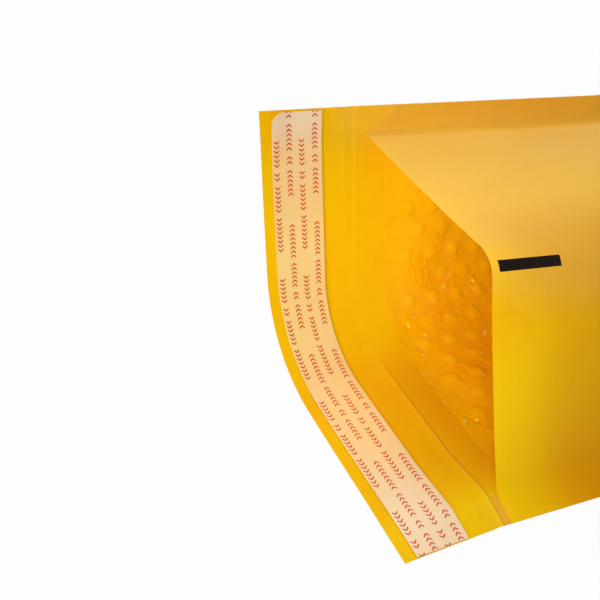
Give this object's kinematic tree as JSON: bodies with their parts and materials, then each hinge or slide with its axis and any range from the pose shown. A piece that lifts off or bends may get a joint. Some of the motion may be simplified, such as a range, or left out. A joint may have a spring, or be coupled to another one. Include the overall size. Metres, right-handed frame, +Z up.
{
  "type": "bubble mailer",
  "caption": "Open padded kraft mailer lying on one side, with a bubble film lining, flat side seams and a flap with a covered glue strip.",
  "frame": {"origin": "centre of the outer box in plan, on the surface that the mailer lies on", "axes": "+X from the flap toward the closed end, +Y from the flat lower side toward the raised upper side, +Z up"},
  "size_m": [0.343, 0.184, 0.0867],
  "materials": {
    "kraft_paper": "smooth golden kraft paper, faintly glossy",
    "bubble_film": "clear film over golden paper",
    "hot_melt_glue": "tacky, satin",
    "release_paper": "silicone coated paper, satin"
  },
  "bodies": {
    "root": {"kraft_envelope": "kraft_paper", "bubble_lining": "bubble_film", "adhesive_strip": "hot_melt_glue", "release_liner": "release_paper"}
  },
  "joints": []
}
